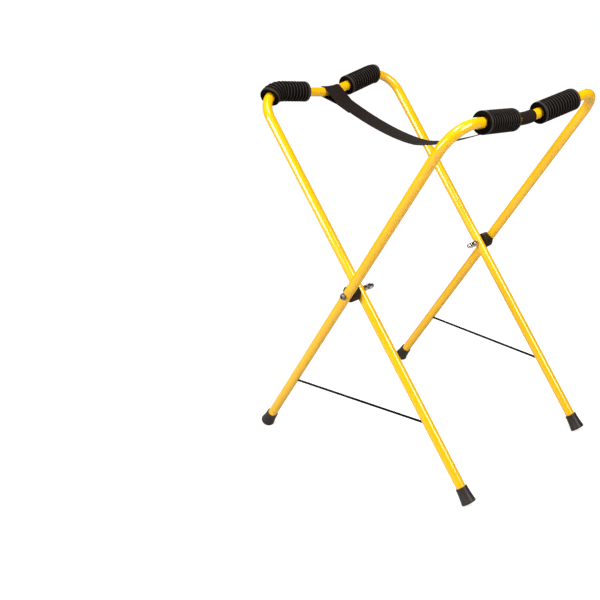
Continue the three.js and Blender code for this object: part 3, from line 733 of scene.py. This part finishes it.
def make_tube(word, material):
    """A frame's bent tube, open at its ends, with its bolt holes and cord holes"""
    path = FramePath(HALF_WIDTHS[word])
    lean = LEANS[word]
    half = tube_distances(path)
    distances = [-distance for distance in reversed(half[1:])] + half
    outside = [path.ring(distance, TUBE_RADIUS, TUBE_SIDES, lean) for distance in distances]
    inside = [path.ring(distance, BORE_RADIUS, TUBE_SIDES, lean) for distance in reversed(distances)]
    tube = make_skin(word + "_tube", outside + inside, material, loop=True)
    other = "inner" if word == "outer" else "outer"
    for sign in SIDES.values():
        bolt_reach = TUBE_RADIUS + OVERRUN
        ends = [to_world((0, sign * path.half_width + step, 0), lean) for step in (-bolt_reach, bolt_reach)]
        combine(tube, cylinder_between(*ends, BOLT_HOLE_RADIUS, HARDWARE_SIDES, material))
        cord = cord_ends(sign)
        along = (cord[other] - cord[word]).normalized()
        hole_end = cord[word] + along * TUBE_DIAMETER
        combine(tube, cylinder_between(cord[word], hole_end, CORD_HOLE_RADIUS, HARDWARE_SIDES, material))
    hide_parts(word + "_frame_tube")
    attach(tube, BODIES[word])
    return tube


def grip_profile():
    """The grip's outline along the tube, from its inner mouth over the ribs to its outer mouth"""
    outside = GRIP_DIAMETER / 2
    edge = GRIP_EDGE_RADIUS
    mouth = GRIP_MOUTH_DIAMETER / 2
    lip = GRIP_LIP_RADIUS
    near_end = [
        (SEAT_RADIUS, GRIP_MOUTH_DEPTH),
        *arc_points(mouth + lip, lip, lip, -pi, -pi / 2),
        *arc_points(outside - edge, edge, edge, -pi / 2, 0),
    ]
    ribs = []
    pitch = (GRIP_LENGTH - 2 * GRIP_COLLAR) / GRIP_RIB_COUNT
    for i in range(GRIP_RIB_COUNT * RIB_STEPS + 1):
        height = ((1 - cos(i / RIB_STEPS * 2 * pi)) / 2) ** RIB_SHARPNESS
        ribs.append((outside - GRIP_RIB_DEPTH * (1 - height), GRIP_COLLAR + pitch * i / RIB_STEPS))
    far_end = [(radius, GRIP_LENGTH - height) for radius, height in reversed(near_end)]
    heights = stretch(GRIP_MOUTH_DEPTH, GRIP_LENGTH - GRIP_MOUTH_DEPTH, CORNER_RADIUS * BEND_STEP)
    inside = [(SEAT_RADIUS, GRIP_LENGTH - height) for height in heights[1:]]
    lead_in = [(outside, GRIP_COLLAR - GRIP_RIB_DEPTH)]
    lead_out = [(outside, GRIP_LENGTH - GRIP_COLLAR + GRIP_RIB_DEPTH)]
    return near_end + lead_in + ribs + lead_out + far_end + inside


def make_grip(word, side, material):
    """A ribbed rubber sleeve that follows the tube, also round its corner"""
    path = FramePath(HALF_WIDTHS[word])
    start = STRAP_WIDTH / 2 + SIDES[side] * STRAP_SLIDES[word] + GRIP_STANDOFFS[word, side]
    low = start if SIDES[side] > 0 else -start - GRIP_LENGTH
    profile = grip_profile()
    points = []
    for radius, height in profile:
        points += path.ring(low + height, radius, GRIP_SIDES, LEANS[word])
    faces, corners = skin_faces(len(profile), GRIP_SIDES, loop=True)
    # The map across runs from 0 in a groove to 1 on a crest, for the rubber's painted groove shade and
    # crest highlight
    corner_places = []
    for ring, _ in corners:
        radius, height = profile[ring % len(profile)]
        depth = (GRIP_DIAMETER / 2 - radius) / GRIP_RIB_DEPTH
        corner_places.append((height, max(0, 1 - depth)))
    grip = new_piece(f"{word}_{side}_grip", points, faces, material, corner_places)
    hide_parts(f"{word}_grip_{side}")
    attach(grip, BODIES[word])


def foot_profile():
    """The rubber tip from the middle of its sole, up its flare and down into its socket"""
    base = FOOT_BASE_DIAMETER / 2
    top = FOOT_TOP_DIAMETER / 2
    edge = FOOT_EDGE_RADIUS
    socket_floor = FOOT_LENGTH - FOOT_SOCKET_DEPTH
    profile = [
        (0, FOOT_DISH_DEPTH),
        (FOOT_DISH_RADIUS, FOOT_DISH_DEPTH),
        (FOOT_DISH_RADIUS + FOOT_DISH_DEPTH, 0),
        *arc_points(base - edge, edge, edge, -pi / 2, 0),
    ]
    flare_height = FOOT_LENGTH - FOOT_MOUTH_BEVEL - edge
    for i in range(1, FLARE_STEPS + 1):
        share = i / FLARE_STEPS
        draw = 1 - (1 - share) ** 2
        profile.append((base + (top - base) * draw, edge + share * flare_height))
    bevel = FOOT_MOUTH_BEVEL
    profile += arc_points(top - bevel, FOOT_LENGTH - bevel, bevel, 0, pi / 2)
    return profile + [(SEAT_RADIUS, FOOT_LENGTH), (SEAT_RADIUS, socket_floor), (0, socket_floor)]


def make_foot(word, side, material):
    """A flared rubber tip with a flat where its rim meets the floor, as from wear"""
    middle = SIDES[side] * HALF_WIDTHS[word]

    def place(x, y, height):
        return to_world((x, middle + y, height - LEG_LENGTH), LEANS[word])

    foot = lathe(f"{word}_{side}_foot", foot_profile(), FOOT_SIDES, place, material)
    below = place(0, 0, 0)
    below.z = -FOOT_LENGTH
    floor = cylinder_between(below, (below.x, below.y, 0), FOOT_LENGTH, FOOT_SIDES, material)
    combine(foot, floor)
    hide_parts(f"{word}_foot_{side}")
    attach(foot, BODIES[word])


# Pivot hardware, which lies along Y and is measured from the outer leg's centre line inwards

HEAD_WASHER_START = -TUBE_RADIUS - SEAT_GAP - WASHER_THICKNESS
HEAD_BASE = HEAD_WASHER_START - SEAT_GAP
SPACER_FACE = LEG_SPACING - TUBE_RADIUS - SEAT_GAP
NUT_WASHER_START = LEG_SPACING + TUBE_RADIUS + SEAT_GAP
LOCK_NUT_START = NUT_WASHER_START + WASHER_THICKNESS + SEAT_GAP
LOCK_NUT_END = LOCK_NUT_START + LOCK_NUT_HEIGHT
CAP_NUT_START = LOCK_NUT_END + BARE_THREAD_LENGTH
BOLT_END = CAP_NUT_START + CAP_NUT_BORE_DEPTH - END_SPACE


def pivot_place(side):
    """Takes a point across and along the bolt to its place on the part"""
    sign = SIDES[side]

    def place(x, z, along):
        return to_world((-sign * x, sign * (HALF_WIDTHS["outer"] - along), z), LEAN_ANGLE)

    return place


def finish_hardware(piece, node_name):
    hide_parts(node_name)
    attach(piece, "outer_frame")


def make_bolt(side, material, socket_shade_material):
    """A button-head bolt with a hexagon socket, darkened by black nylon on its faces as painted shade, and
    a cut thread where it shows between the nuts
    """
    place = pivot_place(side)
    head = BOLT_HEAD_DIAMETER / 2
    shank = BOLT_DIAMETER / 2
    top = HEAD_BASE - BOLT_HEAD_HEIGHT
    profile = [
        (0, top),
        *arc_points(head - BOLT_HEAD_ROUND, top + BOLT_HEAD_ROUND, BOLT_HEAD_ROUND, -pi / 2, 0),
        (head, HEAD_BASE), (shank, HEAD_BASE), (shank, LOCK_NUT_START),
    ]
    rings = [[point] * HARDWARE_SIDES for point in profile]
    thread_end = CAP_NUT_START + OVERRUN
    steps = ceil((thread_end - LOCK_NUT_START) / THREAD_PITCH * THREAD_STEPS)
    for i in range(1, steps + 1):
        along = LOCK_NUT_START + (thread_end - LOCK_NUT_START) * i / steps
        ring = []
        for j in range(HARDWARE_SIDES):
            share = (along / THREAD_PITCH + j / HARDWARE_SIDES) % 1
            ring.append((shank - THREAD_DEPTH * abs(2 * share - 1), along))
        rings.append(ring)
    rings.append([(shank - THREAD_DEPTH, BOLT_END)] * HARDWARE_SIDES)
    placed = []
    for ring in rings:
        spokes = zip(ring, unit_circle(HARDWARE_SIDES))
        placed.append([place(radius * x, radius * z, along) for (radius, along), (x, z) in spokes])
    bolt = make_skin(f"{side}_bolt", placed, material)
    outer = top - OVERRUN
    floor = top + BOLT_SOCKET_DEPTH
    mouth = [(0, outer), (SOCKET_CORNER, outer), (SOCKET_CORNER, floor), (0, floor + SOCKET_CORNER / 2)]
    # The socket's faces take the cutter's black nylon, as painted shade in the recess
    combine(bolt, lathe("cutter", mouth, HEX_SIDES, place, socket_shade_material))
    finish_hardware(bolt, f"pivot_bolt_{side}")


def make_washer(side, word, start, material):
    outside = WASHER_DIAMETER / 2
    end = start + WASHER_THICKNESS
    bevel = WASHER_BEVEL
    profile = [
        (BOLT_HOLE_RADIUS, start), (outside - bevel, start), (outside, start + bevel),
        (outside, end - bevel), (outside - bevel, end), (BOLT_HOLE_RADIUS, end),
    ]
    washer = lathe(f"{side}_{word}_washer", profile, HARDWARE_SIDES, pivot_place(side), material)
    finish_hardware(washer, f"{word}_washer_{side}")


def make_nut(side, word, start, hex_end, lead, crown, end, material):
    """A turned nut, trimmed to its hexagon. Its profile leads from its bore to its bevelled foot, runs up
    its flank and closes over its crown."""
    place = pivot_place(side)
    profile = [
        *lead, (BOLT_HOLE_RADIUS, start), (NUT_CORNER - NUT_BEVEL, start),
        (NUT_CORNER, start + NUT_BEVEL / 2), (NUT_CORNER, hex_end - NUT_BEVEL / 2), *crown,
    ]
    nut = lathe(f"{side}_{word}_nut", profile, HARDWARE_SIDES, place, material)
    low, high = start - OVERRUN, end + OVERRUN
    hexagon = [(0, low), (NUT_CORNER, low), (NUT_CORNER, high), (0, high)]
    combine(nut, lathe("cutter", hexagon, HEX_SIDES, place, material), "INTERSECT")
    finish_hardware(nut, f"{word}_nut_{side}")


def make_lock_nut(side, material):
    """A hexagon nut with the round collar that holds its locking ring"""
    collar = NUT_WIDTH / 2 - NUT_BEVEL
    hex_end = LOCK_NUT_END - LOCK_COLLAR_HEIGHT
    crown = [
        (collar, hex_end),
        *arc_points(collar - NUT_BEVEL, LOCK_NUT_END - NUT_BEVEL, NUT_BEVEL, 0, pi / 2),
        (BOLT_HOLE_RADIUS, LOCK_NUT_END),
    ]
    make_nut(side, "lock", LOCK_NUT_START, hex_end, [], crown, LOCK_NUT_END, material)


def make_cap_nut(side, material):
    """A domed nut, bored from its open end"""
    dome = CAP_NUT_DOME_DIAMETER / 2
    hex_end = CAP_NUT_START + CAP_NUT_HEX_HEIGHT
    end = CAP_NUT_START + CAP_NUT_HEIGHT
    bore_end = CAP_NUT_START + CAP_NUT_BORE_DEPTH
    crown = [
        (dome, hex_end),
        *arc_points(dome - CAP_NUT_DOME_ROUND, end - CAP_NUT_DOME_ROUND, CAP_NUT_DOME_ROUND, 0, pi / 2),
        (0, end),
    ]
    make_nut(side, "cap", CAP_NUT_START, hex_end, [(0, bore_end), (BOLT_HOLE_RADIUS, bore_end)], crown,
             end, material)


def make_spacer(side, material):
    """The round block between the legs, with a saddle for the outer leg and a flat for the inner one"""
    place = pivot_place(side)
    outside = SPACER_DIAMETER / 2
    ear_tip = TUBE_RADIUS - SPACER_WRAP
    profile = [
        (BOLT_HOLE_RADIUS, ear_tip), (outside, ear_tip),
        *arc_points(outside - SPACER_BEVEL, SPACER_FACE - SPACER_BEVEL, SPACER_BEVEL, 0, pi / 2),
        (BOLT_HOLE_RADIUS, SPACER_FACE),
    ]
    spacer = lathe(f"{side}_spacer", profile, HARDWARE_SIDES, place, material)
    ends = [place(0, reach, 0) for reach in (-SPACER_DIAMETER, SPACER_DIAMETER)]
    combine(spacer, cylinder_between(*ends, SEAT_RADIUS, TUBE_SIDES * 2, material))
    soften_edges(spacer, SPACER_EDGE_WIDTH)
    finish_hardware(spacer, f"pivot_spacer_{side}")


# Strap

def bar_centre(path, rise):
    """The centre of a bar that has risen so far above its middle, on the X side of 0 for either bar"""
    reach = path.middle + rise
    return Vector((reach * sin(LEAN_ANGLE), PIVOT_HEIGHT + reach * cos(LEAN_ANGLE)))


def mean_centre(word):
    """The bar's centre halfway up its rise under the webbing, which sets the sag"""
    path = FramePath(HALF_WIDTHS[word])
    return bar_centre(path, path.rise(abs(STRAP_SLIDES[word]) + STRAP_WIDTH / 2) / 2)


def sag_height(word, x):
    """The webbing's height at a distance from the middle towards one bar"""
    centre = mean_centre(word)
    return centre.y - STRAP_SAG * (1 - (abs(x) / centre.x) ** SAG_POWER)


def end_line(word, y):
    """One end of the webbing's middle line at a place across it: from the tail's tip round the bar to the
    join. It is drawn on the X side of 0 for either bar."""
    bar = mean_centre(word).x
    layer = STRAP_THICKNESS + LAYER_GAP
    join_x = bar - STRAP_JOIN_LENGTH
    join = Vector((join_x, sag_height(word, join_x)))
    tail_join = Vector((join_x, join.y - layer))
    path = FramePath(HALF_WIDTHS[word])
    centre = bar_centre(path, path.rise(y))
    radius = SEAT_RADIUS + STRAP_THICKNESS / 2

    def tangent_angle(point, turn):
        reach = point - centre
        return atan2(reach.y, reach.x) + turn * acos(radius / reach.length)

    def on_round(angle):
        return centre + radius * Vector((cos(angle), sin(angle)))

    low_angle = tangent_angle(tail_join, 1)
    high_angle = tangent_angle(join, -1)
    while high_angle < low_angle:
        high_angle += 2 * pi
    line = []
    for distance in stretch(-STRAP_TAIL_LENGTH, -STRAP_JOIN_LENGTH, STRAP_STEP):
        line.append(Vector((bar + distance, sag_height(word, bar + distance) - layer)))
    leg_shares = [i / STRAP_LEG_STEPS for i in range(STRAP_LEG_STEPS)]
    line += [tail_join.lerp(on_round(low_angle), share) for share in leg_shares]
    for i in range(STRAP_TURN_STEPS):
        line.append(on_round(low_angle + (high_angle - low_angle) * i / STRAP_TURN_STEPS))
    line += [on_round(high_angle).lerp(join, share) for share in leg_shares]
    return line + [join]


def strap_line(across):
    """The webbing's middle line, as points in the part's axes, at a place across its width"""
    inner_line = end_line("inner", across + STRAP_SLIDES["inner"])
    inner_end = [Vector((-point.x, point.y)) for point in inner_line]
    outer_end = list(reversed(end_line("outer", across + STRAP_SLIDES["outer"])))
    span = []
    for x in stretch(inner_end[-1].x, outer_end[0].x, STRAP_STEP)[1:]:
        span.append(Vector((x, sag_height("inner" if x < 0 else "outer", x))))
    line = []
    for point in inner_end + span + outer_end:
        line.append(Vector((point.x, across + strap_slide(point.x), point.y)))
    return line


def strap_slide(x):
    """How far the webbing has slid across the frame at a place along it"""
    inner_x = -mean_centre("inner").x
    outer_x = mean_centre("outer").x
    share = min(max((x - inner_x) / (outer_x - inner_x), 0), 1)
    return STRAP_SLIDES["inner"] + (STRAP_SLIDES["outer"] - STRAP_SLIDES["inner"]) * share


def strap_columns():
    """Places across the webbing, close together at its rounded edges, and half its thickness at each"""
    edge = STRAP_THICKNESS / 2
    flat = STRAP_WIDTH / 2 - edge
    angles = [pi / 2 * i / ROUND_STEPS for i in range(ROUND_STEPS)]
    columns = [(-flat - edge * cos(angle), edge * sin(angle)) for angle in angles]
    for i in range(STRAP_FLAT_STEPS + 1):
        columns.append((-flat + 2 * flat * i / STRAP_FLAT_STEPS, edge))
    return columns + [(flat + edge * cos(angle), edge * sin(angle)) for angle in reversed(angles)]


def line_length(line):
    return sum((after - before).length for before, after in zip(line, line[1:]))


def make_strap(material):
    """One length of webbing with both ends turned back round the bars, slightly askew"""
    columns = strap_columns()
    lines = [strap_line(across) for across, _ in columns]
    count = len(lines[0])
    middle = lines[len(lines) // 2]
    rings = []
    for i in range(count):
        before, after = max(i - 1, 0), min(i + 1, count - 1)
        top, bottom = [], []
        for j, (_, half_thickness) in enumerate(columns):
            along = lines[j][after] - lines[j][before]
            side = lines[min(j + 1, len(lines) - 1)][i] - lines[max(j - 1, 0)][i]
            lift = side.cross(along).normalized() * half_thickness
            top.append(lines[j][i] + lift)
            bottom.append(lines[j][i] - lift)
        rings.append(top + bottom[-2:0:-1])
    sides = len(rings[0])
    faces, corners = skin_faces(count, sides, loop=False)
    places = [line_length(middle[:i + 1]) for i in range(count)]
    across_places = [across for across, _ in columns]
    across_places += across_places[-2:0:-1] + across_places[:1]
    corner_places = [(places[i], across_places[j]) for i, j in corners]
    faces += end_faces(count, sides)
    for place in (places[0], places[-1]):
        corner_places += [(place, across) for across in across_places[:sides]]
    strap = new_piece("strap", ring_points(rings), faces, material, corner_places)
    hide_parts("support_strap")
    tail_reach = STRAP_TAIL_LENGTH + OVERRUN
    mean_centre("outer").x - tail_reach
    tail_reach - mean_centre("inner").x
    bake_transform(strap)
    line_length(middle)


def strap_surface(word, distance, across, layer_lift):
    """A point on the webbing's face where its layers are sewn: `distance` is from the bar"""
    x = mean_centre(word).x - distance
    step = STRAP_THICKNESS
    slope = (sag_height(word, x + step) - sag_height(word, x - step)) / (2 * step)
    normal = Vector((-slope, 0, 1)).normalized()
    sign = TOP_SIDES[word]
    point = Vector((x, 0, sag_height(word, x))) + normal * layer_lift
    return Vector((sign * point.x, across + strap_slide(sign * x), point.z))


def stitch_row(word, start, end, lift, sink):
    """Threads along a row from one place on the webbing to another, each diving into it at its ends"""
    rings = []
    length = hypot(end[0] - start[0], end[1] - start[1])
    count = round(length / (STITCH_LENGTH + STITCH_GAP))
    pitch = length / count
    for i in range(count):
        line = []
        for share, height in zip(STITCH_SHARES, (sink, lift, lift, lift, sink)):
            at = (i * pitch + STITCH_GAP / 2 + STITCH_LENGTH * share) / length
            distance = start[0] + (end[0] - start[0]) * at
            across = start[1] + (end[1] - start[1]) * at
            line.append(strap_surface(word, distance, across, height))
        rings.append(tube_rings(line, STITCH_DIAMETER / 2, STITCH_SIDES))
    return rings


def make_stitches(word, material):
    """A sewn box with a cross in it, through both layers, seen on the top and under the tail"""
    low = STRAP_JOIN_LENGTH + STITCH_MARGIN
    high = STRAP_TAIL_LENGTH - STITCH_MARGIN
    edge = STRAP_WIDTH / 2 - STITCH_MARGIN
    corners = [(low, -edge), (low, edge), (high, edge), (high, -edge)]
    rows = list(zip(corners, corners[1:] + corners[:1]))
    rows += [(corners[0], corners[2]), (corners[1], corners[3])]
    proud = STRAP_THICKNESS / 2 + STITCH_DIAMETER / 4
    sunk = STRAP_THICKNESS / 2 - STITCH_DIAMETER
    below = STRAP_THICKNESS + LAYER_GAP
    threads = []
    for start, end in rows:
        threads += stitch_row(word, start, end, proud, sunk)
        threads += stitch_row(word, start, end, -proud - below, -sunk - below)
    points, faces = [], []
    for rings in threads:
        thread_faces, _ = skin_faces(len(rings), STITCH_SIDES, loop=False)
        thread_faces += end_faces(len(rings), STITCH_SIDES)
        faces += [tuple(len(points) + corner for corner in face) for face in thread_faces]
        points += ring_points(rings)
    stitches = new_piece(f"{word}_stitches", points, faces, material)
    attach(stitches, BODIES[word])
    return stitches


# Limit cords

def make_cord_line(side):
    """The cord's route from the knot in the outer leg to the knot in the inner leg"""
    ends = cord_ends(SIDES[side])
    along = (ends["inner"] - ends["outer"]).normalized()
    leg_axis = Vector((sin(LEAN_ANGLE), 0, cos(LEAN_ANGLE)))
    across_leg = sqrt(1 - along.dot(leg_axis) ** 2)
    offset = (BORE_RADIUS - CORD_KNOT_DIAMETER / 2 - SEAT_GAP) / across_leg
    start = ends["outer"] + along * offset
    end = ends["inner"] - along * offset
    steps = ceil((end - start).length / CORD_STEP)
    line = [start.lerp(end, i / steps) for i in range(steps + 1)]
    exit_point = ends["outer"] + along * (TUBE_RADIUS / across_leg)
    return line, exit_point


def make_knot(side, word, end, along, material):
    """A stopper knot: the cord wound three times round itself, against the inside of the tube"""
    strand = CORD_KNOT_DIAMETER / 4
    steps = CORD_KNOT_TURNS * KNOT_STEPS
    side_way = along.orthogonal().normalized()
    lift = along.cross(side_way)
    line = []
    for i in range(steps + 1):
        angle = i / steps * CORD_KNOT_TURNS * 2 * pi
        reach = (i / steps * CORD_KNOT_TURNS - 1 / 2) * strand * KNOT_SPACING_SHARE
        round_point = cos(angle) * side_way + sin(angle) * lift
        line.append(end + round_point * (CORD_KNOT_DIAMETER / 2 - strand) + along * reach)
    knot = make_skin(f"{side}_{word}_knot", tube_rings(line, strand, CORD_SIDES), material)
    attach(knot, BODIES[word])
    return knot


def make_cord(side, cord_material, knot_material):
    """A taut braided cord that stops the legs from spreading."""
    line, exit_point = make_cord_line(side)
    radius = CORD_DIAMETER / 2 + BRAID_FUZZ
    rings = tube_rings(line, radius, CORD_SIDES)
    faces, corners = skin_faces(len(rings), CORD_SIDES, loop=False)
    around = pi * CORD_DIAMETER / CORD_SIDES
    corner_places = [(i * CORD_STEP, j * around) for i, j in corners]
    faces += end_faces(len(rings), CORD_SIDES)
    corner_places += [(0, 0)] * (2 * CORD_SIDES)
    cord = new_piece(f"{side}_cord", ring_points(rings), faces, cord_material, corner_places)
    along = (line[-1] - line[0]).normalized()
    knots = [
        make_knot(side, "outer", line[0], -along, knot_material),
        make_knot(side, "inner", line[-1], along, knot_material),
    ]
    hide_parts(f"limit_cord_{side}")
    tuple(line[2])
    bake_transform(cord)
    line_length(line)
    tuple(exit_point)
    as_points(line)


# Floor and room

def light_paths(tree):
    """1 for rays from the camera, straight or through glass, and 1 for mirrored rays"""
    rays = tree.nodes.new("ShaderNodeLightPath").outputs
    straight = math_node(tree, "MAXIMUM", rays["Is Camera Ray"], rays["Is Transmission Ray"])
    return straight, rays["Is Glossy Ray"]


def distance_from(tree, centre):
    apart = node(tree, "VectorMath", {0: object_place(tree), 1: centre}, operation="DISTANCE")
    return apart.node.outputs["Value"]


def make_floor():
    """A wide pale floor that keeps a soft shadow near the stand and runs into white"""
    material = bpy.data.materials.new("studio_floor")
    material.use_nodes = True
    material.cycles.emission_sampling = "NONE"
    tree = material.node_tree
    tree.nodes.clear()
    diffuse = node(tree, "BsdfDiffuse", {"Color": grey(FLOOR_WHITE)})
    straight, mirrored = light_paths(tree)
    glow_level = range_node(tree, distance_from(tree, (0, 0, 0)), *FLOOR_GLOWS, FLOOR_NEAR, FLOOR_FAR)
    aside = distance_from(tree, MIRRORED_CENTRE)
    mirrored_level = range_node(tree, aside, MIRRORED_LEVEL, 0, MIRRORED_NEAR, MIRRORED_FAR)
    strength = math_node(tree, "ADD", math_node(tree, "MULTIPLY", straight, glow_level),
                         math_node(tree, "MULTIPLY", mirrored, mirrored_level))
    glow = node(tree, "Emission", {"Color": grey(WHITE), "Strength": strength})
    output = tree.nodes.new("ShaderNodeOutputMaterial")
    tree.links.new(node(tree, "AddShader", {0: diffuse, 1: glow}), output.inputs["Surface"])
    mesh = bpy.data.meshes.new("floor")
    reach = FLOOR_REACH
    corners = [(-reach, -reach, 0), (reach, -reach, 0), (reach, reach, 0), (-reach, reach, 0)]
    mesh.from_pydata(corners, [], [(0, 1, 2, 3)])
    mesh.materials.append(material)
    floor = add_object("floor", mesh)


def make_world():
    """Even light from all round, seen as plain white and mirrored as a dim room"""
    world = bpy.data.worlds.new("studio")
    bpy.context.scene.world = world
    world.cycles.sampling_method = "NONE"
    world.use_nodes = True
    tree = world.node_tree
    tree.nodes.clear()
    straight, mirrored = light_paths(tree)
    level = range_node(tree, mirrored, WORLD_LEVEL, ROOM_LEVEL)
    strength = range_node(tree, straight, level, WHITE)
    background = node(tree, "Background", {"Color": grey(WHITE), "Strength": strength})
    output = tree.nodes.new("ShaderNodeOutputWorld")
    tree.links.new(background, output.inputs["Surface"])


def main():
    bpy.context.scene.view_settings.view_transform = "Standard"
    make_camera()
    make_world()
    make_floor()
    for name, values in LAMPS.items():
        make_lamp(name, *values)

    paint = make_powder_coat()
    grip_rubber = make_grip_rubber()
    foot_rubber = make_foot_rubber()
    dull_zinc = make_zinc("dull_zinc")
    zinc = make_zinc("zinc")
    nylon = make_spacer_plastic()
    webbing = make_webbing()
    braid = make_braid()
    thread = make_thread()

    bars, stitches = [], []
    for side in SIDES:
        make_cord(side, braid, thread)
    for word in HALF_WIDTHS:
        bars.append(make_tube(word, paint))
        for side in SIDES:
            make_grip(word, side, grip_rubber)
            make_foot(word, side, foot_rubber)
            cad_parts[f"{word}_foot_disc_{side}"].material_slots[0].material = zinc
        stitches.append(make_stitches(word, thread))
    for side in SIDES:
        # The bolt's socket takes the nylon as painted shade
        make_bolt(side, dull_zinc, nylon)
        make_washer(side, "head", HEAD_WASHER_START, dull_zinc)
        make_washer(side, "nut", NUT_WASHER_START, zinc)
        make_lock_nut(side, zinc)
        make_cap_nut(side, zinc)
        make_spacer(side, nylon)
    make_strap(webbing)


main()
